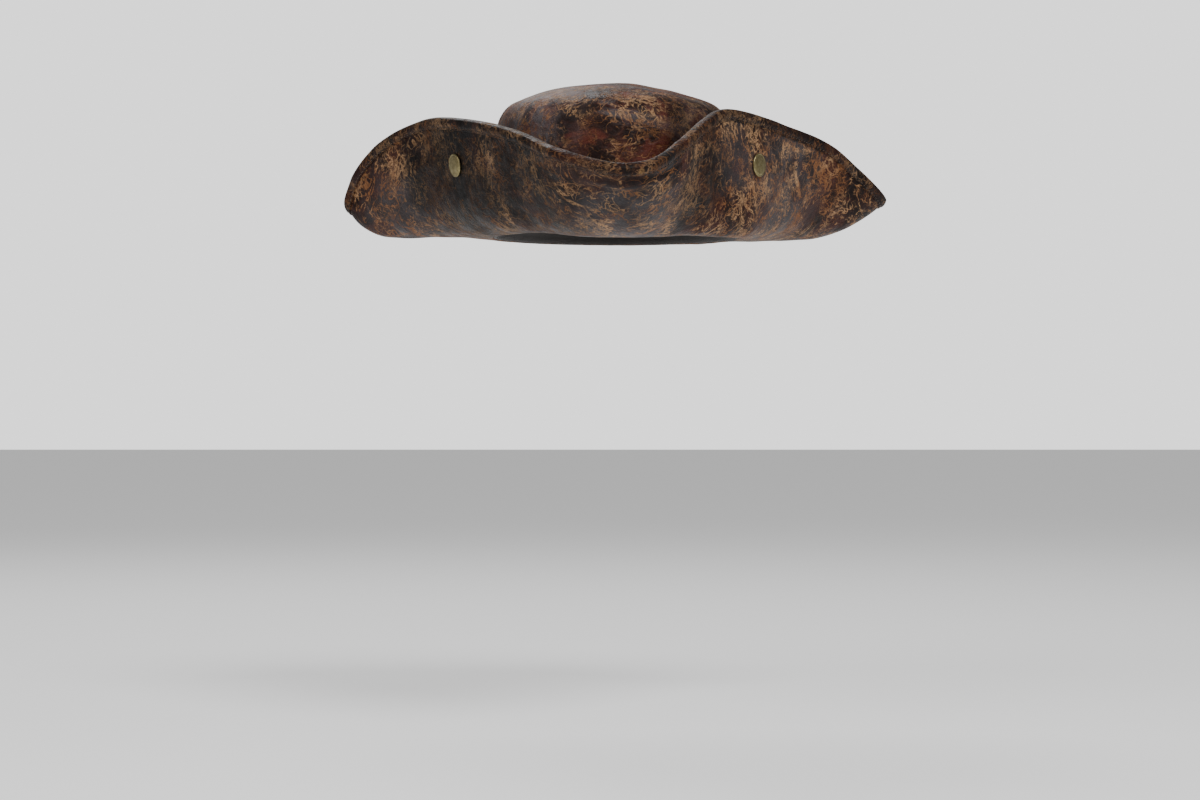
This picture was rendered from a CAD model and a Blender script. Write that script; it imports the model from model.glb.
from collections import namedtuple
from math import atan2, cos, pi, radians, sin, tan

import bpy
import numpy as np
from mathutils import Matrix, Vector, noise


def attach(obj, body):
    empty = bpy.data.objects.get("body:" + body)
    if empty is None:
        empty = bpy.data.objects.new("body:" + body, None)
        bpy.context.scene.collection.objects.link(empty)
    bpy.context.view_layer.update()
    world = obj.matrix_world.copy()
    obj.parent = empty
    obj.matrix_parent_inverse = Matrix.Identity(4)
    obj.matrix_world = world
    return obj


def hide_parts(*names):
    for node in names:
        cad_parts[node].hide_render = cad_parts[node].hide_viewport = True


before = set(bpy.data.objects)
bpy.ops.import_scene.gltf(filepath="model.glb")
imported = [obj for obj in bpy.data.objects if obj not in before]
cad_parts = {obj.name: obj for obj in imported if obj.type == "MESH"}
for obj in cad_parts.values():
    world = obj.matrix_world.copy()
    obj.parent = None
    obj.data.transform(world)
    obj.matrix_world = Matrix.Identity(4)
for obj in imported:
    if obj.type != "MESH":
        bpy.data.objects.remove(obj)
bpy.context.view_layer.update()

MM = 0.001

# ---- The hat's own dimensions, in millimetres ----
HEAD_HALF_WIDTH = 82.5
HEAD_HALF_LENGTH = 100.0
CROWN_HEIGHT = 99.2
CROWN_WALL_TAPER = radians(4.8)
CROWN_SHOULDER_RADIUS = 20.3
CROWN_DOME_RADIUS = 165.0
CROWN_LEAN = -0.0245
SEAM_BASE = -1.75
BRIM_HALF = 2.1
BRIM_SKIN = 1.3
BRIM_CORE = 1.3
SEAM_CLEARANCE = 1.45
CORE_SETBACK = 2.6
SKIN_UNDER_CROWN = 1.2  # how far the brim's leather is tucked under the crown's edge
SKIN_FROM_RIM = 0.3
WIRE_RADIUS = 0.5
WIRE_SETBACK = 1.6
BINDING_WIDTH = 6.8
BINDING_OUTSIDE = BRIM_HALF + 0.9
STITCH_PITCH = 3.3
STITCH_INSET = 1.3  # from the binding's inner edge
STITCH_HALF_LENGTH = 1.15
THREAD_RADIUS = 0.27
CROWN_LEATHER = 1.2
LINING_OUTSIDE = 3.2  # depths of the lining's two faces below the outside of the crown
LINING_INSIDE = 3.6
LINING_TIP_SEAM = 78.2  # height
LINING_SIDE_TOP = 78.4
LINING_SIDE_FOOT = 29.0
SWEATBAND_TOP = 30.0
SWEATBAND_DEPTH = 2.5
SWEATBAND_THICKNESS = 0.8
RIM_SHARE = 0.27  # reach of the rim's slope as a share of the chord, plus a bit for each degree
RIM_SHARE_PER_DEGREE = 0.0017
SNAP_FROM_SEAM = 59.0
SNAP_STUD_HEIGHT = 50.0
SNAPS = {"right": 4.51, "left": 17.05, "back": 10.0}  # places round the brim, in stations

# ---- How finely the pieces are meshed ----
SKIN_SECTIONS = 800
SKIN_ROWS = 84
CORE_SECTIONS = 400
CORE_ROWS = 40
WIRE_SECTIONS = 600
WIRE_SIDES = 10
CROWN_SECTIONS = 360
LINING_SECTIONS = 480
SWEATBAND_SECTIONS = 400

# Places round the head where the brim changes shape. Angles and slopes are in degrees.
Station = namedtuple("Station", "seam_angle rim_x rim_y rim_z seam_slope rim_slope bulge")
STATIONS = [
    Station(3, 5, -191, 32.5, -25, 40, 0.42),  # front dip
    Station(12, 23, -185, 36, -25, 46, 0.42),
    Station(22, 40, -159, 50, -27, 66, 0.42),
    Station(34, 55, -126, 65.3, -28, 84, 0.40),
    Station(47, 71, -94, 74.4, -28, 90, 0.42),  # peak of the right flap
    Station(66, 107, -39, 69.3, -20, 84, 0.44),
    Station(84, 143, 9, 58.2, -10, 70, 0.45),
    Station(105, 181, 59, 28.3, -2, 44, 0.48),  # right corner
    Station(125, 150, 96, 44, 2, 62, 0.44),
    Station(148, 88, 120, 62, 0, 82, 0.42),
    Station(180, 0, 128, 68, 0, 86, 0.42),  # middle of the back flap
    Station(212, -88, 120, 62, 2, 82, 0.42),
    Station(235, -150, 100, 42, 6, 62, 0.44),
    Station(255, -180, 66, 24, 10, 58, 0.48),  # left corner
    Station(267, -175, 49, 42, 4, 74, 0.48),
    Station(277, -157, 23, 61.5, 2, 80, 0.45),
    Station(290, -130, -14, 72.8, 2, 78, 0.44),
    Station(303, -108, -54, 72.4, 4, 76, 0.42),  # peak of the left flap
    Station(322, -70, -118, 61.2, -6, 76, 0.40),
    Station(340, -40, -167, 45, -22, 62, 0.42),
    Station(351, -18, -185, 36.2, -25, 46, 0.42),
]

# Soft folds that run from the rim towards the seam: where they start and end, as shares of the
# brim's width, and their depth (+ is proud of the underside) and half width in millimetres
Fold = namedtuple("Fold", "place start end depth half_width")
FOLDS = [
    Fold(3.55, 0.25, 1.05, -1.5, 5.0),
    Fold(3.0, 0.35, 0.95, 1.1, 6.0),
    Fold(2.1, 0.2, 0.8, -0.8, 6.0),
    Fold(5.6, 0.15, 0.7, 0.6, 7.0),
    Fold(14.6, 0.3, 0.9, 0.7, 7.0),
    Fold(18.2, 0.2, 0.9, -0.9, 8.0),
    Fold(19.3, 0.3, 0.9, 0.8, 7.0),
    Fold(10.9, 0.1, 0.8, -0.8, 9.0),
    Fold(9.2, 0.2, 0.9, 0.7, 8.0),
]


# Soft ridges (+) and grooves (-) that run along the rim, at square distances back from it
Ridge = namedtuple("Ridge", "place half_length back depth half_width")
RIM_RIDGES = [
    Ridge(0.4, 2.0, 10.5, -1.1, 2.2),
    Ridge(0.2, 1.7, 15.5, 0.8, 2.8),
    Ridge(20.4, 1.6, 20.5, -0.8, 2.6),
    Ridge(1.2, 1.4, 26.0, 0.6, 4.0),
    Ridge(15.2, 1.6, 30.0, 1.3, 4.5),
    Ridge(14.2, 1.5, 40.0, -1.2, 5.5),
    Ridge(10.0, 3.0, 13.0, -0.6, 3.5),
]

# ---------------------------------------------------------------- brim shape
def stations_at(places):
    """Station values at places round the brim, counted in stations, by Catmull-Rom."""
    places = np.asarray(places, float)
    table = np.array(STATIONS, float)
    count = len(table)
    first = np.floor(places).astype(int)
    f = (places - first)[:, None]

    def around(k):
        index = first + k
        values = table[index % count].copy()
        values[:, 0] += 360 * (index // count)
        return values

    a, b, c, d = (around(k) for k in (-1, 0, 1, 2))
    return b + 0.5 * f * (c - a + f * (2 * a - 5 * b + 4 * c - d + f * (3 * (b - c) + d - a)))


class Brim:
    """The brim's middle surface at a list of places, and the leather's soft relief on it."""

    SAMPLES = 80
    NEAR = 0.01  # how far the neighbouring sections are that give the brim's true direction

    def __init__(self, places):
        self.places = np.asarray(places, float)
        self.sections = [self.section(self.places + step) for step in (0, -self.NEAR, self.NEAR)]
        t = np.linspace(0, 1, self.SAMPLES + 1)
        path = self.spot(0, np.tile(t, (len(self.places), 1)))[0]
        steps = np.linalg.norm(np.diff(path, axis=1), axis=2)
        self.lengths = np.concatenate([np.zeros((len(steps), 1)), np.cumsum(steps, 1)], 1)
        self.width = self.lengths[:, -1]
        ones = np.ones((len(self.places), 1))
        rim = [self.spot(k, ones) for k in range(3)]
        along, self.rim_normal = rim[0][1][:, 0], self.normal(ones)[:, 0]
        self.rim_way = unit(rim[2][0][:, 0] - rim[1][0][:, 0])
        self.sine = np.linalg.norm(np.cross(self.rim_way, along), axis=1)
        self.rim_out = unit(np.cross(self.rim_way, self.rim_normal))
        self.rim_out *= np.sign(np.sum(self.rim_out * along, 1))[:, None]

    def section(self, places):
        """Seam points, outward directions and curve controls of the sections at some places."""
        s = stations_at(places)
        angle = np.radians(s[:, 0])
        flat = np.zeros_like(angle)
        seam = np.stack([HEAD_HALF_WIDTH * np.sin(angle), -HEAD_HALF_LENGTH * np.cos(angle), flat], 1)
        out = s[:, 1:3] - seam[:, :2]
        reach = np.linalg.norm(out, axis=1)
        outwards = np.concatenate([out / reach[:, None], flat[:, None]], 1)
        chord = np.hypot(reach, s[:, 3])
        seam_slope, rim_slope = np.radians(s[:, 4]), np.radians(s[:, 5])
        rim_share = RIM_SHARE + RIM_SHARE_PER_DEGREE * s[:, 5]
        rim = np.stack([reach, s[:, 3]], 1)
        lead = np.stack([np.cos(seam_slope), np.sin(seam_slope)], 1) * (chord * s[:, 6])[:, None]
        tail = np.stack([np.cos(rim_slope), np.sin(rim_slope)], 1) * (chord * rim_share)[:, None]
        return seam, outwards, [0 * rim, lead, rim - tail, rim]

    def spot(self, which, t):
        """Points and unit directions along the sections at their own rows of curve parameters."""
        seam, outwards, controls = self.sections[which]
        a, b, c, d = (p[:, None] for p in controls)
        t = t[..., None]
        s = 1 - t
        flat = a * s**3 + 3 * b * s * s * t + 3 * c * s * t * t + d * t**3
        way = (b - a) * s * s + 2 * (c - b) * s * t + (d - c) * t * t
        up = np.array([0, 0, 1.0])
        points = seam[:, None] + outwards[:, None] * flat[..., :1] + up * flat[..., 1:]
        return points, unit(outwards[:, None] * way[..., :1] + up * way[..., 1:])

    def normal(self, t):
        """Directions square to the brim, off its underside."""
        way = self.spot(2, t)[0] - self.spot(1, t)[0]
        return unit(np.cross(way, self.spot(0, t)[1]))

    def points(self, along, offset):
        """Points at distances from the seam and offsets towards the underside, in millimetres."""
        along, offset = np.broadcast_arrays(along, offset)
        along = np.broadcast_to(along, (len(self.places), along.shape[-1]))
        held = np.clip(along, 0, self.width[:, None])
        share = np.linspace(0, 1, self.SAMPLES + 1)
        t = np.array([np.interp(h, lengths, share) for h, lengths in zip(held, self.lengths)])
        middle, tangent = self.spot(0, t)
        middle = middle + tangent * (along - held)[..., None]
        return middle + self.normal(t) * (offset + self.relief(held, middle))[..., None]

    def edge_points(self, back, offset):
        """Points at square distances back from the rim; a negative distance is beyond it."""
        back, offset = np.broadcast_arrays(back, offset)
        inside = self.points(self.width[:, None] - np.clip(back, 0, None) / self.sine[:, None], offset)
        return inside + self.rim_out[:, None] * np.clip(-back, 0, None)[..., None]

    def relief(self, along, middle):
        """Height of the soft folds, ripples and seam puckers, in millimetres."""
        share = along / self.width[:, None]
        clear_of_seam = np.clip(along / 12.0, 0, 1)
        slow = field(middle, 34.0, 3.1) * 1.1 + field(middle, 15.0, 7.7) * 0.45
        height = slow * clear_of_seam
        count = len(STATIONS)
        spacing = np.linalg.norm(self.sections[0][0], axis=1)[:, None] + along
        for fold in FOLDS:
            turn = (self.places - fold.place + count / 2) % count - count / 2
            here = stations_at([fold.place])[0][0]
            span = np.radians(stations_at(fold.place + turn)[:, 0] - here)[:, None]
            distance = span * spacing + 3.0 * np.sin(share * 5.0 + fold.place)
            ends = smooth((share - fold.start) / 0.18) * smooth((fold.end - share) / 0.18)
            height = height + fold.depth * ends * np.exp(-((distance / fold.half_width) ** 2))
        back = (self.width[:, None] - along) * self.sine[:, None]
        for ridge in RIM_RIDGES:
            turn = np.abs((self.places - ridge.place + count / 2) % count - count / 2)[:, None]
            reach = smooth((ridge.half_length - turn) / (0.6 * ridge.half_length))
            wander = ridge.back + 1.5 * np.sin(self.places[:, None] * 2.3 + ridge.back)
            height = height + ridge.depth * reach * np.exp(-(((back - wander) / ridge.half_width) ** 2))
        puckers = np.sin(self.places[:, None] * 2 * pi * 3.0 + 1.3 * np.sin(self.places[:, None] * 5))
        height = height + 0.22 * puckers * np.exp(-((along / 9.0) ** 2)) * clear_of_seam
        return height


def unit(vectors):
    return vectors / np.linalg.norm(vectors, axis=-1, keepdims=True)


def smooth(x):
    x = np.clip(x, 0, 1)
    return x * x * (3 - 2 * x)


def field(points, size, seed):
    """Smooth noise from -1 to 1 over points in millimetres, with lumps of about the given size."""
    flat = points.reshape(-1, 3) / size + seed
    values = [noise.noise(Vector(p)) for p in flat.tolist()]
    return np.array(values).reshape(points.shape[:-1])


# ---------------------------------------------------------------- mesh making
def add_mesh(name, vertices, faces, uvs=None):
    """Smooth-shaded object from points in millimetres; uvs holds one pair for each face corner."""
    mesh = bpy.data.meshes.new(name)
    mesh.from_pydata((np.asarray(vertices) * MM).tolist(), [], faces)
    mesh.polygons.foreach_set("use_smooth", [True] * len(mesh.polygons))
    if uvs is not None:
        layer = mesh.uv_layers.new(name="UVMap")
        layer.data.foreach_set("uv", np.asarray(uvs, float).ravel())
    mesh.update()
    piece = bpy.data.objects.new(name, mesh)
    bpy.context.scene.collection.objects.link(piece)
    return piece


def ring_faces(rings, around, wrap_section):
    """Quads over a grid of rings x around points that closes on itself along the first index."""
    i, j = np.meshgrid(np.arange(rings), np.arange(around if wrap_section else around - 1), indexing="ij")
    i2, j2 = (i + 1) % rings, (j + 1) % around
    quads = np.stack([i * around + j, i2 * around + j, i2 * around + j2, i * around + j2], -1)
    return quads.reshape(-1, 4), i.ravel(), j.ravel()


def ring_mesh(name, points, metres_round=1.0, metres_along=None):
    """Closed tube-like ring: points is (sections, loop, 3), and the loop closes too."""
    sections, loop = points.shape[:2]
    faces, i, j = ring_faces(sections, loop, True)
    v = np.linspace(0, 1, loop) if metres_along is None else np.asarray(metres_along)
    u0, u1 = i / sections * metres_round, (i + 1) / sections * metres_round
    v0, v1 = v[j], v[(j + 1) % loop]
    uvs = np.stack([u0, v0, u1, v0, u1, v1, u0, v1], 1)
    return add_mesh(name, points.reshape(-1, 3), faces.tolist(), uvs)


def dome_mesh(name, points):
    """Shell swept round an axis: the first and the last point of every section are poles."""
    sections, path = points.shape[:2]
    inner = path - 2
    body = points[:, 1:-1].reshape(-1, 3)
    vertices = np.vstack([body, points[:, 0].mean(0), points[:, -1].mean(0)])
    faces = ring_faces(sections, inner, False)[0].tolist()
    first, last = len(body), len(body) + 1
    for i in range(sections):
        k = (i + 1) % sections
        faces.append([first, k * inner, i * inner])
        faces.append([last, i * inner + inner - 1, k * inner + inner - 1])
    return add_mesh(name, vertices, faces)


# ---------------------------------------------------------------- materials
class Shader:
    """A short way to write a node material."""

    def __init__(self, name):
        self.material = bpy.data.materials.new(name)
        self.material.use_nodes = True
        self.tree = self.material.node_tree
        self.bsdf = self.tree.nodes["Principled BSDF"]
        self.where = self.add("ShaderNodeTexCoord").outputs["Object"]

    def add(self, kind, inputs=None, **settings):
        node = self.tree.nodes.new(kind)
        for key, value in settings.items():
            setattr(node, key, value)
        for key, value in (inputs or {}).items():
            self.put(node.inputs[key], value)
        return node

    def put(self, socket, value):
        if isinstance(value, bpy.types.NodeSocket):
            self.tree.links.new(value, socket)
        else:
            socket.default_value = value

    def set(self, **values):
        for key, value in values.items():
            self.put(self.bsdf.inputs[key.replace("_", " ")], value)

    def math(self, operation, a, b=0.0, c=0.0, clamp=False):
        return self.add("ShaderNodeMath", {0: a, 1: b, 2: c}, operation=operation, use_clamp=clamp).outputs[0]

    def noise(self, scale, detail=4.0, rough=0.55, warp=0.0, vector=None, kind="FBM"):
        node = self.add(
            "ShaderNodeTexNoise",
            {
                "Vector": vector or self.where,
                "Scale": scale,
                "Detail": detail,
                "Roughness": rough,
                "Distortion": warp,
            },
            noise_type=kind,
        )
        return node.outputs["Fac"]

    def ramp(self, value, low, high, start=0.0, end=1.0):
        """Smooth step of a value from start to end as it goes from low to high."""
        node = self.add(
            "ShaderNodeMapRange",
            {"Value": value, "From Min": low, "From Max": high, "To Min": start, "To Max": end},
            interpolation_type="SMOOTHSTEP",
        )
        return node.outputs["Result"]

    def mix(self, factor, a, b):
        node = self.add("ShaderNodeMix", {"Factor": factor}, data_type="RGBA")
        self.put(node.inputs[6], a)
        self.put(node.inputs[7], b)
        return node.outputs[2]

    def warped(self, scale, amount, vector=None):
        """Coordinates pushed about by noise, by up to about amount metres."""
        vector = vector or self.where
        push = self.add("ShaderNodeTexNoise", {"Vector": vector, "Scale": scale, "Detail": 3.0})
        centred = self.add(
            "ShaderNodeVectorMath", {0: push.outputs["Color"], 1: (0.5, 0.5, 0.5)}, operation="SUBTRACT"
        )
        inputs = {0: centred.outputs[0], "Scale": 2 * amount}
        scaled = self.add("ShaderNodeVectorMath", inputs, operation="SCALE")
        return self.add("ShaderNodeVectorMath", {0: vector, 1: scaled.outputs[0]}).outputs[0]

    def fibres(self, scale, width, vector, detail=3.0, rough=0.6):
        """Curly hair lines where noise crosses its middle value: 1 on the line, 0 away from it."""
        lumps = self.noise(scale, detail, rough, 0.4, vector)
        off_middle = self.math("ABSOLUTE", self.math("SUBTRACT", lumps, 0.5))
        return self.ramp(off_middle, width * 0.25, width, 1.0, 0.0)

    def stretched(self, vector, squeeze, turn):
        """Coordinates turned and then squeezed along X, which draws the pattern out that way."""
        turned = self.add("ShaderNodeMapping", {"Vector": vector, "Rotation": turn}, vector_type="TEXTURE")
        inputs = {"Vector": turned.outputs[0], "Scale": (squeeze, 1, 1)}
        return self.add("ShaderNodeMapping", inputs).outputs[0]

    def round_brim(self, squeeze):
        """Coordinates that go round with the brim and are squeezed from the seam to the rim."""
        at = self.add("ShaderNodeSeparateXYZ", {"Vector": self.where})
        level = self.add("ShaderNodeCombineXYZ", {"X": at.outputs["X"], "Y": at.outputs["Y"]}).outputs[0]
        way = self.add("ShaderNodeVectorMath", {0: level}, operation="NORMALIZE").outputs[0]
        ring = self.add("ShaderNodeVectorMath", {0: way, "Scale": 0.115}, operation="SCALE").outputs[0]
        uv = self.add("ShaderNodeSeparateXYZ", {"Vector": self.add("ShaderNodeTexCoord").outputs["UV"]})
        drawn = self.math("MULTIPLY", uv.outputs["Y"], squeeze)
        across = self.add("ShaderNodeCombineXYZ", {"Z": drawn}).outputs[0]
        return self.add("ShaderNodeVectorMath", {0: ring, 1: across}).outputs[0]

    def distance(self, centre):
        """Distance of the surface from a point."""
        inputs = {0: self.where, 1: centre}
        return self.add("ShaderNodeVectorMath", inputs, operation="DISTANCE").outputs["Value"]

    def spot(self, centre, radius):
        """1 near a point and 0 beyond the radius, with a ragged edge."""
        gap = self.distance(centre)
        ragged = self.math("MULTIPLY_ADD", self.noise(420, 3), 1.3 * radius, gap)
        return self.ramp(ragged, radius * 1.0, radius * 1.7, 1.0, 0.0)

    def glow(self, centre, radius):
        """1 at a point, fading softly and unevenly to 0 at the radius."""
        gap = self.distance(centre)
        uneven = self.math("MULTIPLY_ADD", self.math("SUBTRACT", self.noise(35, 3), 0.5), radius, gap)
        return self.ramp(uneven, radius * 0.35, radius, 1.0, 0.0)

    def bump(self, *layers):
        """Chained bump from (height, distance in metres) pairs."""
        normal = None
        for height, distance in layers:
            node = self.add("ShaderNodeBump", {"Height": height, "Strength": 1.0, "Distance": distance})
            if normal is not None:
                self.put(node.inputs["Normal"], normal)
            normal = node.outputs["Normal"]
        self.set(Normal=normal)


HAIR_LEANS = (-0.9, -0.2, 0.5, 1.2)  # radians


def distressed_leather(name, tone, grain, veins=1.0, grey=0.5, red=0.6, marks=(), worn_at=(), dark_at=()):
    """Dark faux leather under a broken net of tan hair lines, with worn blue-grey patches.

    tone is the value of the ground colour, and grain gives the coordinates that the lines follow.
    """
    s = Shader(name)
    near_black, plum, oxblood, blue_grey = (
        tuple(tone * c for c in colour) + (1,)
        for colour in (
            (0.0060, 0.0024, 0.0018),
            (0.0190, 0.0058, 0.0042),
            (0.0500, 0.0120, 0.0075),
            (0.0520, 0.0465, 0.0490),
        )
    )
    rust = (0.255, 0.106, 0.040, 1)
    tan = (0.440, 0.255, 0.128, 1)
    ochre = (0.300, 0.170, 0.065, 1)
    drawn_out = grain(s)
    swirl = s.warped(30, 0.008, drawn_out)
    tangle = s.warped(120, 0.0022, swirl)
    plain_swirl = s.warped(34, 0.009)
    plain_tangle = s.warped(140, 0.0022, plain_swirl)
    # Ground: black and plum clouds, oxblood where the colour shows, and blue-grey worn areas
    ground = s.mix(s.ramp(s.noise(58, 5, 0.62, 0.8), 0.42, 0.60), near_black, plum)
    ground = s.mix(s.ramp(s.noise(24, 4, 0.6, 1.0, plain_swirl), 0.48, 0.62, 0.0, red), ground, oxblood)
    worn = s.ramp(s.noise(21, 5, 0.68, 0.9, swirl), 0.52, 0.66, 0.0, grey)
    for centre, radius, amount in worn_at:
        mottled = s.ramp(s.noise(60, 5, 0.65), 0.36, 0.60, 0.3, amount)
        there = s.math("MULTIPLY", s.glow(centre, radius), mottled)
        worn = s.math("MAXIMUM", worn, there)
    ground = s.mix(worn, ground, blue_grey)
    # Hair lines: a loose net that follows the grain, straight hairs that cross it, and fine curls.
    # They crowd together in some places and leave dark islands between them.
    crowd = s.ramp(s.noise(38, 5, 0.66, 0.8, swirl), 0.46, 0.58)
    broken = s.ramp(s.noise(160, 4, 0.65), 0.38, 0.50)
    patchy = s.ramp(s.noise(75, 3, 0.6, 0.5, swirl), 0.44, 0.56)
    loose = s.math("MULTIPLY", s.fibres(58, 0.018, tangle, 4.0), s.math("MULTIPLY_ADD", patchy, 0.7, 0.3))
    curls = s.math("MULTIPLY", s.fibres(100, 0.026, plain_tangle, 4.0), s.math("MULTIPLY", broken, crowd))
    fine = s.math("MULTIPLY", s.fibres(230, 0.040, tangle, 3.0), s.math("MULTIPLY", crowd, broken))
    lines = s.math("MAXIMUM", loose, s.math("MAXIMUM", curls, s.math("MULTIPLY", fine, 0.40)))
    for lean in HAIR_LEANS:
        way = s.stretched(s.warped(75, 0.0028), 0.30, (0.2, lean, 0.5 * lean))
        gather = s.ramp(s.noise(33 + 7 * lean, 4, 0.62, 0.5), 0.51, 0.58)
        hairs = s.math("MULTIPLY", s.fibres(130, 0.030, way, 2.0, 0.5), gather)
        lines = s.math("MAXIMUM", lines, hairs)
    lines = s.math("MULTIPLY", lines, s.ramp(s.noise(900, 3, 0.7), 0.34, 0.52, 0.35, 1.0))
    line_colour = s.mix(s.ramp(s.noise(40, 4, 0.6), 0.40, 0.60), rust, tan)
    colour = s.mix(s.math("MULTIPLY", lines, 0.80 * veins, clamp=True), ground, line_colour)
    # A haze of tan dust in the crowded places, and patches where the top coat has come away
    dust = s.math("MULTIPLY", s.ramp(s.noise(1100, 4, 0.75), 0.46, 0.64, 0.0, 0.12 * veins), crowd)
    colour = s.mix(dust, colour, rust)
    rubbed = s.ramp(s.noise(30, 6, 0.74, 1.2, tangle), 0.64, 0.70, 0.0, 0.8 * veins)
    for centre, radius in marks:
        rubbed = s.math("MAXIMUM", rubbed, s.math("MULTIPLY", s.spot(centre, radius), 0.85))
    ragged = s.ramp(s.noise(700, 5, 0.75), 0.40, 0.56)
    colour = s.mix(s.math("MULTIPLY", rubbed, ragged), colour, ochre)
    speckle = s.ramp(s.noise(1700, 2, 0.6), 0.35, 0.68, 0.70, 1.34)
    for centre, radius, amount in dark_at:
        speckle = s.math("MULTIPLY", s.math("MULTIPLY_ADD", s.glow(centre, radius), -amount, 1.0), speckle)
    s.set(Base_Color=s.add("ShaderNodeHueSaturation", {"Color": colour, "Value": speckle}).outputs["Color"])
    rough = s.math("MULTIPLY_ADD", lines, 0.14, s.ramp(s.noise(120, 4), 0.3, 0.7, 0.38, 0.56))
    s.set(Roughness=rough, Specular_IOR_Level=0.12)
    pebbles = s.add("ShaderNodeTexVoronoi", {"Vector": plain_tangle, "Scale": 1000.0}, feature="F1")
    s.bump(
        (s.noise(85, 5, 0.6, 0.5), 0.0012),
        (s.noise(300, 4, 0.6), 0.0004),
        (s.math("SUBTRACT", 1.0, pebbles.outputs["Distance"]), 0.00010),
        (s.math("SUBTRACT", 1.0, lines), 0.00018),
    )
    return s.material


def brim_grain(s):
    return s.round_brim(0.9)


def crown_grain(s):
    return s.stretched(s.where, 0.6, (0.0, 0.2, 0.3))


def binding_grain(s):
    return s.where


def fabric(name, colour, rib_scale, rib_axis_uv=True, shine=0.3, rough=0.75):
    """Woven lining or ribbed ribbon with fine threads and slight fading."""
    s = Shader(name)
    shade = s.ramp(s.noise(55, 4), 0.3, 0.7, 0.75, 1.2)
    bright = s.add("ShaderNodeHueSaturation", {"Color": (*colour, 1), "Value": shade})
    s.set(Base_Color=bright.outputs["Color"], Roughness=rough)
    s.set(Sheen_Weight=shine, Sheen_Roughness=0.4)
    source = s.add("ShaderNodeTexCoord").outputs["UV" if rib_axis_uv else "Object"]
    rib_inputs = {"Vector": source, "Scale": rib_scale, "Distortion": 0.4}
    ribs = s.add("ShaderNodeTexWave", rib_inputs, wave_profile="SIN")
    threads = s.add(
        "ShaderNodeTexWave",
        {"Vector": source, "Scale": rib_scale * 1.7, "Distortion": 0.6},
        bands_direction="Y",
    )
    s.bump((ribs.outputs["Fac"], 0.00025), (threads.outputs["Fac"], 0.00008), (s.noise(1800, 2), 0.00005))
    return s.material


def antique_brass(name):
    """Dull greenish brass, brushed, darker in the hollows and bright where it is rubbed."""
    s = Shader(name)
    worn = s.ramp(s.noise(420, 5, 0.65), 0.35, 0.7)
    edge = s.add("ShaderNodeNewGeometry").outputs["Pointiness"]
    colour = s.mix(worn, (0.20, 0.165, 0.075, 1), (0.36, 0.30, 0.15, 1))
    colour = s.mix(s.ramp(edge, 0.52, 0.60), colour, (0.80, 0.72, 0.50, 1))
    s.set(Base_Color=colour, Metallic=1.0, Roughness=s.ramp(worn, 0.0, 1.0, 0.50, 0.34))
    s.bump((s.noise(1400, 3), 0.00004), (s.noise(260, 4), 0.00006))
    return s.material


def steel(name):
    s = Shader(name)
    drawn = s.ramp(s.noise(900, 3), 0.3, 0.7, 0.3, 0.45)
    s.set(Base_Color=(0.45, 0.45, 0.46, 1), Metallic=1.0, Roughness=drawn)
    return s.material


def thread(name):
    s = Shader(name)
    shade = s.mix(s.noise(500, 3), (0.030, 0.017, 0.012, 1), (0.11, 0.07, 0.045, 1))
    s.set(Base_Color=shade, Roughness=0.6)
    twist_inputs = {"Vector": s.where, "Scale": 900.0, "Distortion": 1.0}
    twist = s.add("ShaderNodeTexWave", twist_inputs, bands_direction="DIAGONAL")
    s.bump((twist.outputs["Fac"], 0.00008))
    return s.material


def give(piece, material):
    piece.data.materials.clear()
    piece.data.materials.append(material)


# ---------------------------------------------------------------- pieces
def finish_piece(piece, material, slot, *nodes):
    give(piece, material)
    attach(piece, "root")
    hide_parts(*nodes)
    return piece


def brim_skin(name, outside, inside, material, node):
    """One leather face of the brim, from the crown seam to under the binding."""
    places = np.arange(0, len(STATIONS), len(STATIONS) / SKIN_SECTIONS)
    brim = Brim(places)
    end = brim.width[:, None] - SKIN_FROM_RIM
    start = -SKIN_UNDER_CROWN
    shares = np.linspace(0, 1, SKIN_ROWS)[None, :]
    along = start + (end - start) * shares
    there = brim.points(along, outside)
    back = brim.points(along[:, ::-1], inside)
    metres = np.concatenate([shares[0], shares[0][::-1]]) * 0.1
    piece = ring_mesh(name, np.concatenate([there, back], 1), 1.0, metres)
    finish_piece(piece, material, "distressed_leather", node)
    return piece


def stitch_places(spacing):
    """Places round the rim at even distances in millimetres."""
    fine = np.linspace(0, len(STATIONS), 4001)
    rim = stations_at(fine)[:, 1:4]
    length = np.concatenate([[0], np.cumsum(np.linalg.norm(np.diff(rim, axis=0), axis=1))])
    count = int(length[-1] / spacing)
    return np.interp(np.arange(count) * length[-1] / count, length, fine), length[-1]


def brim_core(material):
    """Felted layer between the two leathers."""
    brim = Brim(np.arange(0, len(STATIONS), len(STATIONS) / CORE_SECTIONS))
    shares = np.linspace(0, 1, CORE_ROWS)[None, :]
    along = SEAM_CLEARANCE + (brim.width[:, None] - CORE_SETBACK - SEAM_CLEARANCE) * shares
    faces = [brim.points(along, BRIM_CORE / 2), brim.points(along[:, ::-1], -BRIM_CORE / 2)]
    piece = ring_mesh("brim_felt_core", np.concatenate(faces, 1))
    finish_piece(piece, material, "brim_interlining", "brim_core")


def edge_wire(material):
    """Springy wire inside the edge."""
    brim = Brim(np.arange(0, len(STATIONS), len(STATIONS) / WIRE_SECTIONS))
    turns = np.arange(WIRE_SIDES) * 2 * pi / WIRE_SIDES
    back = np.tile(WIRE_SETBACK + WIRE_RADIUS * np.cos(turns), (len(brim.places), 1))
    points = brim.edge_points(back, -WIRE_RADIUS * np.sin(turns)[None, :])
    finish_piece(ring_mesh("edge_spring_wire", points), material, "edge_wire", "brim_edge_wire")


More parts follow.
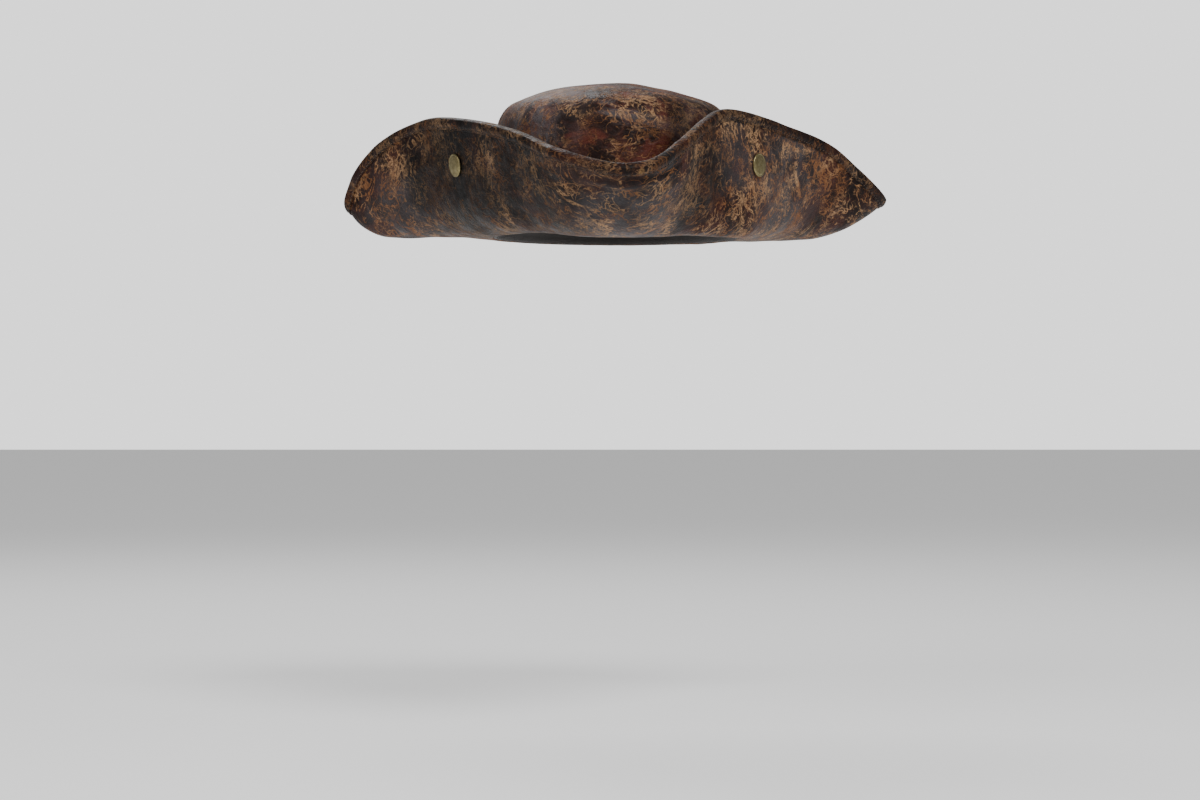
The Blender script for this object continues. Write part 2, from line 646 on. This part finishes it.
def edge_binding(material):
    """Folded strip over the edge, pulled in along its stitch line."""
    samples_per_stitch = 8
    places, length = stitch_places(STITCH_PITCH / samples_per_stitch)
    brim = Brim(places)
    phase = np.arange(len(places)) / samples_per_stitch * 2 * pi
    pinch = 0.5 + 0.5 * np.cos(phase)[:, None]
    arm = np.array([0.0, 0.25, 0.8, 1.3, 1.8, 2.6, 3.6, 4.6, 5.6, 6.4])
    near_stitch = np.exp(-(((arm - STITCH_INSET) / 0.55) ** 2))[None, :]
    puff = 0.55 * np.sin(np.clip(arm / BINDING_WIDTH, 0, 1) * pi)[None, :]
    lift = np.array([-0.55, -0.12, 0.0, 0.0, 0.0, 0.02, 0.04, 0.04, 0.0, -0.08])[None, :]
    swell = 1 + 0.25 * np.sin(phase / 9.0 + np.sin(phase / 23.0))[:, None]
    height = BINDING_OUTSIDE + lift + puff * swell - near_stitch * (0.45 + 0.35 * pinch)
    back = BINDING_WIDTH - arm[None, :] - 0.12 * near_stitch * pinch
    fold_angles = np.radians(np.array([62, 36, 12, -12, -36, -62]))
    fold_back = np.tile(0.15 - 0.9 * np.cos(fold_angles), (len(places), 1))
    fold_height = np.broadcast_to(BINDING_OUTSIDE * np.sin(fold_angles)[None, :], fold_back.shape)
    inner_back = np.tile([BINDING_WIDTH - 0.1, 3.0, 0.4], (len(places), 1))
    inner_height = np.full_like(inner_back, BRIM_HALF + 0.08)
    section_back = np.concatenate([back, fold_back, back[:, ::-1], inner_back, inner_back[:, ::-1]], 1)
    section_height = np.concatenate(
        [height, fold_height, -height[:, ::-1], -inner_height, inner_height[:, ::-1]], 1
    )
    piece = ring_mesh("brim_binding_strip", brim.edge_points(section_back, section_height), length * MM)
    finish_piece(piece, material, "binding_leather", "brim_edge_binding")
    return piece


def topstitch(name, side, material):
    """Thread stitches along the binding, sunk a little into it; side is +1 on the underside."""
    places, _ = stitch_places(STITCH_PITCH)
    gap = np.diff(np.concatenate([places, [places[0] + len(STATIONS)]])) / STITCH_PITCH
    bow = np.linspace(-1, 1, 7)
    turns = np.arange(6) * pi / 3
    vertices, faces = [], []
    rows = []
    for b in bow:
        brim = Brim(places + (0.5 + b * STITCH_HALF_LENGTH / STITCH_PITCH) * gap * STITCH_PITCH)
        height = BINDING_OUTSIDE - 0.10 - 0.45 * b * b
        thick = THREAD_RADIUS * np.sqrt(max(1 - b**4, 0.06))
        back = BINDING_WIDTH - STITCH_INSET + np.tile(thick * np.cos(turns), (len(places), 1))
        rows.append(brim.edge_points(back, side * (height + thick * np.sin(turns)[None, :])))
    for k in range(len(places)):
        base = len(vertices)
        for row in rows:
            vertices.extend(row[k])
        for r in range(len(rows) - 1):
            for c in range(6):
                d = (c + 1) % 6
                a = base + r * 6
                faces.append([a + c, a + d, a + 6 + d, a + 6 + c])
        faces.append([base + c for c in range(5, -1, -1)])
        last = base + (len(rows) - 1) * 6
        faces.append([last + c for c in range(6)])
    piece = add_mesh(name, vertices, faces)
    give(piece, material)
    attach(piece, "root")
    return piece


# ---- Crown ----
def crown_path(depth, low, steps=70):
    """(radius, height) points up one layer of the crown: wall, shoulder, then dome to the top."""
    along = np.array([-sin(CROWN_WALL_TAPER), cos(CROWN_WALL_TAPER)])
    inwards = np.array([-cos(CROWN_WALL_TAPER), -sin(CROWN_WALL_TAPER)])
    dome_centre = np.array([0, CROWN_HEIGHT - CROWN_DOME_RADIUS])
    start = np.array([HEAD_HALF_WIDTH, 0]) + inwards * CROWN_SHOULDER_RADIUS - dome_centre
    reach = CROWN_DOME_RADIUS - CROWN_SHOULDER_RADIUS
    half_b = start @ along
    rise = -half_b + (half_b**2 - start @ start + reach**2) ** 0.5
    shoulder = dome_centre + start + along * rise
    dome_angle = atan2(*(shoulder - dome_centre)[::-1])

    def arc(centre, radius, a, b, n):
        t = np.linspace(a, b, n)
        return centre + (radius - depth) * np.stack([np.cos(t), np.sin(t)], 1)

    shoulder_arc = arc(shoulder, CROWN_SHOULDER_RADIUS, CROWN_WALL_TAPER, dome_angle, 22)
    dome_arc = arc(dome_centre, CROWN_DOME_RADIUS, dome_angle, pi / 2, 30)
    foot_radius = HEAD_HALF_WIDTH - depth / cos(CROWN_WALL_TAPER) - low * tan(CROWN_WALL_TAPER)
    wall = np.linspace([foot_radius, low], shoulder_arc[0], 34)
    path = np.vstack([wall, shoulder_arc[1:], dome_arc[1:]])
    length = np.concatenate([[0], np.cumsum(np.linalg.norm(np.diff(path, axis=0), axis=1))])
    at = np.linspace(0, length[-1], steps)
    return np.stack([np.interp(at, length, path[:, k]) for k in (0, 1)], 1)


def head_points(path, angles, relief=None):
    """Sweep a (radius, height) path round the oval of the head."""
    radius, height = path[None, :, 0], path[None, :, 1]
    turn = angles[:, None]
    x = radius * np.sin(turn) + CROWN_LEAN * height
    y = -radius * np.cos(turn) * HEAD_HALF_LENGTH / HEAD_HALF_WIDTH
    points = np.stack([x, y, np.broadcast_to(height, x.shape)], -1)
    if relief is not None:
        centre = np.array([0, 0, 35.0])
        away = points - centre
        away /= np.linalg.norm(away, axis=2, keepdims=True)
        points = points + away * relief(points)[..., None]
    return points


def crown_relief(points):
    """Soft unevenness of the crown; it dies out at the brim seam."""
    clear = np.clip((points[..., 2] - 4) / 18, 0, 1)
    dents = field(points, 42.0, 11.3) * 1.5 + field(points, 17.0, 5.9) * 0.5
    return dents * clear


def crown_leather(material):
    outer, inner = crown_path(0.0, SEAM_BASE), crown_path(CROWN_LEATHER, SEAM_BASE)
    path = np.vstack([outer[::-1], inner])
    angles = np.arange(CROWN_SECTIONS) * 2 * pi / CROWN_SECTIONS
    piece = dome_mesh("crown_leather", head_points(path, angles, crown_relief))
    finish_piece(piece, material, "distressed_leather", "crown")
    return piece


def lining_tip(material):
    """Round top of the lining, gathered a little into its seam."""
    outer, inner = crown_path(LINING_OUTSIDE, 30.5), crown_path(LINING_INSIDE, 30.5)
    cut = outer[:, 1] > LINING_TIP_SEAM
    path = np.vstack([outer[cut][::-1], inner[cut]])
    angles = np.arange(LINING_SECTIONS) * 2 * pi / LINING_SECTIONS
    points = head_points(path, angles)
    gathers = 0.45 * np.sin(angles * 56 + 0.8 * np.sin(angles * 7))[:, None]
    edge = np.exp(-((points[..., 2] - 78) / 7) ** 2)
    points[..., 2] -= np.abs(gathers) * edge
    piece = dome_mesh("lining_tip_cloth", points)
    finish_piece(piece, material, "lining", "crown_lining_tip")
    return piece


def lining_side(material):
    outer = crown_path(LINING_OUTSIDE, LINING_SIDE_FOOT)
    inner = crown_path(LINING_INSIDE, LINING_SIDE_FOOT)
    cut = outer[:, 1] < LINING_SIDE_TOP
    path = np.vstack([outer[cut], inner[cut][::-1]])
    angles = np.arange(LINING_SECTIONS) * 2 * pi / LINING_SECTIONS
    points = head_points(path, angles)
    height = points[..., 2]
    puckers = np.sin(angles * 44 + 1.1 * np.sin(angles * 5))[:, None]
    ends = np.exp(-(((height - 30) / 6) ** 2)) + np.exp(-(((height - 78) / 6) ** 2))
    slack = field(points, 22.0, 2.2) * 0.35 + 0.28 * puckers * ends
    points[..., :2] *= (1 - np.abs(slack) / 80)[..., None]
    piece = ring_mesh("lining_side_cloth", points, 0.49, np.linspace(0, 0.1, points.shape[1]))
    finish_piece(piece, material, "lining", "crown_lining_side")
    return piece


def sweatband(material):
    """Ribbed band inside the opening, with a rolled lower edge."""
    heights = np.linspace(SEAM_BASE, SWEATBAND_TOP, 30)
    outer = HEAD_HALF_WIDTH - SWEATBAND_DEPTH - heights * tan(CROWN_WALL_TAPER)
    bulge = 0.35 * np.exp(-(((heights - 0.2) / 1.6) ** 2)) + 0.25 * np.exp(-(((heights - 29) / 1.0) ** 2))
    groove = 0.25 * np.exp(-(((heights - 3.2) / 0.5) ** 2))
    inner = outer - SWEATBAND_THICKNESS - bulge + groove
    path = np.vstack([np.stack([outer, heights], 1), np.stack([inner, heights], 1)[::-1]])
    angles = np.arange(SWEATBAND_SECTIONS) * 2 * pi / SWEATBAND_SECTIONS
    metres = np.concatenate([heights, heights[::-1]]) * MM
    piece = ring_mesh("sweatband_ribbon", head_points(path, angles), 0.56, metres)
    finish_piece(piece, material, "sweatband", "sweatband")
    return piece


# ---- Press studs ----
def lathe(profile, frame_matrix, segments=72):
    """Turned solid from (radius, height) points in millimetres about a local Z axis."""
    turn = np.arange(segments) * 2 * pi / segments
    profile = np.array(profile, float)
    ring = np.stack(
        [
            profile[None, :, 0] * np.cos(turn)[:, None],
            profile[None, :, 0] * np.sin(turn)[:, None],
            np.broadcast_to(profile[None, :, 1], (segments, len(profile))),
        ],
        -1,
    )
    flat = np.concatenate([ring, np.ones(ring.shape[:2] + (1,))], -1)
    return flat @ np.array(frame_matrix).T[:, :3]


def plane_at(origin, facing):
    rotation = Vector(facing).to_track_quat("Z", "Y").to_matrix().to_4x4()
    return Matrix.Translation(Vector(origin)) @ rotation


def brim_snap_frame(place):
    step = 0.05
    brim = Brim([place - step, place, place + step])
    along = np.array([[SNAP_FROM_SEAM - 2, SNAP_FROM_SEAM, SNAP_FROM_SEAM + 2]])
    p = brim.points(along, BRIM_HALF)
    facing = np.cross(p[2, 1] - p[0, 1], p[1, 2] - p[1, 0])
    inside = brim.points(along, 0.0)[1, 1]
    if facing @ (p[1, 1] - inside) < 0:
        facing = -facing
    return plane_at(p[1, 1], facing)


def crown_snap_frame(place):
    angle = radians(stations_at([place])[0][0])
    share = 1 - SNAP_STUD_HEIGHT * tan(CROWN_WALL_TAPER) / HEAD_HALF_WIDTH
    origin = (
        HEAD_HALF_WIDTH * share * sin(angle) + CROWN_LEAN * SNAP_STUD_HEIGHT,
        -HEAD_HALF_LENGTH * share * cos(angle),
        SNAP_STUD_HEIGHT,
    )
    side = sin(angle) * cos(CROWN_WALL_TAPER)
    ahead = -cos(angle) * cos(CROWN_WALL_TAPER) * HEAD_HALF_WIDTH / HEAD_HALF_LENGTH
    return plane_at(origin, (side, ahead, sin(CROWN_WALL_TAPER) - CROWN_LEAN * side))


CAP_PROFILE = [
    (0, 1.95), (2.0, 1.93), (4.0, 1.85), (5.6, 1.70), (6.25, 1.58), (6.4, 1.42), (6.6, 1.40),
    (6.8, 1.56), (7.1, 1.55), (7.4, 1.25), (7.5, 0.85), (7.4, 0.4), (7.1, 0.1), (6.6, 0.0),
    (3.0, -0.2), (1.9, -0.4), (1.9, -4.9), (0, -4.9),
]  # fmt: skip
# The socket's heights are from the topside of the brim
SOCKET_PROFILE = [
    (0, -0.8), (2.9, -0.8), (3.3, -1.0), (3.4, -2.7), (3.6, -3.15), (4.0, -3.25), (5.4, -3.2),
    (5.9, -2.9), (6.2, -2.4), (6.25, -1.1), (6.2, -0.4), (5.8, -0.1), (0, -0.05),
]  # fmt: skip
STUD_PROFILE = [
    (0, 3.0), (1.6, 3.0), (1.9, 3.2), (2.0, 3.7), (2.5, 3.88), (3.1, 3.7), (3.45, 3.2),
    (3.45, 2.7), (3.1, 2.1), (2.95, 1.5), (3.1, 1.05), (3.6, 0.85), (5.0, 0.75), (5.4, 0.5),
    (5.6, 0.1), (0, 0.0),
]  # fmt: skip


def snap_piece(name, profile, frame_matrix, node, slot):
    """One turned brass piece of a press stud."""
    return finish_piece(dome_mesh(name, lathe(profile, frame_matrix)), brass, slot, node)


# ---------------------------------------------------------------- build
leather_brim = distressed_leather(
    "distressed_leather_brim",
    1.15,
    brim_grain,
    grey=0.3,
    worn_at=[
        ((0.005, -0.150, -0.005), 0.060, 1.0),
        ((0.075, -0.090, 0.045), 0.035, 0.6),
        ((0.115, -0.030, 0.030), 0.060, 0.9),
        ((-0.150, 0.010, 0.010), 0.050, 0.7),
    ],
    dark_at=[
        ((-0.115, -0.060, 0.030), 0.095, 0.74),
        ((-0.055, -0.125, 0.025), 0.065, 0.58),
        ((0.000, -0.170, 0.020), 0.045, 0.30),
        ((0.050, -0.120, 0.030), 0.045, 0.45),
    ],
)
leather_crown = distressed_leather(
    "distressed_leather_crown",
    2.2,
    crown_grain,
    veins=0.8,
    grey=0.45,
    red=0.8,
    worn_at=[((-0.060, -0.050, 0.060), 0.060, 0.9)],
    dark_at=[((0.060, -0.070, 0.045), 0.060, 0.6)],
)
DIP_SCUFF = tuple(Brim([0.45]).edge_points(np.array([[3.0]]), BRIM_HALF)[0, 0] * MM)
leather_binding = distressed_leather(
    "distressed_leather_binding", 0.6, binding_grain, veins=0.5, grey=0.25, marks=[(DIP_SCUFF, 0.0030)]
)
brass = antique_brass("antique_brass")
lining_satin = fabric("dark_lining_satin", (0.020, 0.016, 0.015), 900, shine=0.5, rough=0.5)
ribbon = fabric("ribbed_sweatband", (0.026, 0.020, 0.017), 420, shine=0.2)
interfacing = fabric("pale_interfacing", (0.55, 0.53, 0.48), 500, rib_axis_uv=False)
felt = fabric("felted_interlining", (0.42, 0.38, 0.32), 300, rib_axis_uv=False)
tape = fabric("woven_seam_tape", (0.035, 0.030, 0.028), 700, rib_axis_uv=False)
sewing_thread = thread("waxed_thread")
wire_steel = steel("spring_steel")

brim_skin("brim_underside_leather", BRIM_HALF, BRIM_HALF - BRIM_SKIN, leather_brim, "brim_underside")
brim_skin("brim_topside_leather", -BRIM_HALF, BRIM_SKIN - BRIM_HALF, leather_brim, "brim_topside")
brim_core(felt)
edge_wire(wire_steel)
edge_binding(leather_binding)
topstitch("topstitch_underside", 1, sewing_thread)
topstitch("topstitch_topside", -1, sewing_thread)
crown_leather(leather_crown)
lining_tip(lining_satin)
lining_side(lining_satin)
sweatband(ribbon)
for side, place in SNAPS.items():
    on_brim, on_crown = brim_snap_frame(place), crown_snap_frame(place)
    on_topside = on_brim @ Matrix.Translation((0, 0, -2 * BRIM_HALF))
    snap_piece(f"snap_cap_{side}", CAP_PROFILE, on_brim, f"brim_snap_cap_{side}", "snap_cap_brass")
    snap_piece(f"snap_socket_{side}", SOCKET_PROFILE, on_topside, f"brim_snap_socket_{side}", "snap_brass")
    snap_piece(f"snap_stud_{side}", STUD_PROFILE, on_crown, f"crown_snap_stud_{side}", "snap_brass")
    give(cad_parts[f"crown_snap_post_{side}"], brass)
give(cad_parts["crown_stiffener"], interfacing)
give(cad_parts["seam_tape"], tape)


# ---------------------------------------------------------------- stage
FLOOR_Z = -0.32


def floor():
    """Plain pale floor that runs back out of sight."""
    size = 12.0
    mesh = bpy.data.meshes.new("floor")
    corners = [(-size, -size, FLOOR_Z), (size, -size, FLOOR_Z), (size, size, FLOOR_Z), (-size, size, FLOOR_Z)]
    mesh.from_pydata(corners, [], [[0, 1, 2, 3]])
    piece = bpy.data.objects.new("floor", mesh)
    bpy.context.scene.collection.objects.link(piece)
    s = Shader("pale_floor")
    s.set(Base_Color=(0.85, 0.85, 0.85, 1), Roughness=0.8)
    s.set(Emission_Color=(1, 1, 1, 1), Emission_Strength=0.30)
    give(piece, s.material)


def area_light(name, position, target, size, power):
    light = bpy.data.lights.new(name, "AREA")
    light.shape = "DISK"
    light.size = size
    light.energy = power
    lamp = bpy.data.objects.new(name, light)
    lamp.location = position
    lamp.rotation_euler = (Vector(target) - Vector(position)).to_track_quat("-Z", "Y").to_euler()
    bpy.context.scene.collection.objects.link(lamp)


def studio():
    """White room that is dimmer as a light than it looks, a key from the right and two soft helpers."""
    world = bpy.data.worlds.new("studio")
    world.use_nodes = True
    tree = world.node_tree
    background = tree.nodes["Background"]
    background.inputs["Color"].default_value = (1, 1, 1, 1)
    seen = tree.nodes.new("ShaderNodeLightPath").outputs["Is Camera Ray"]
    strength = tree.nodes.new("ShaderNodeMapRange")
    strength.inputs["To Min"].default_value = 0.28
    strength.inputs["To Max"].default_value = 1.6
    tree.links.new(seen, strength.inputs["Value"])
    tree.links.new(strength.outputs["Result"], background.inputs["Strength"])
    bpy.context.scene.world = world
    middle = (0, 0, 0.03)
    area_light("key", (0.7, -1.5, 1.7), middle, 0.9, 40)
    area_light("fill", (-1.0, -1.4, 1.3), middle, 1.0, 14)
    area_light("back", (-0.5, 1.5, 1.6), middle, 1.0, 18)


def camera():
    data = bpy.data.cameras.new("camera")
    data.sensor_width = 36.0
    data.lens = 100.0
    eye = bpy.data.objects.new("camera", data)
    eye.location = (-0.0106, -2.2, -0.1087)
    eye.rotation_euler = (pi / 2, 0, 0)
    bpy.context.scene.collection.objects.link(eye)
    bpy.context.scene.camera = eye


floor()
studio()
camera()
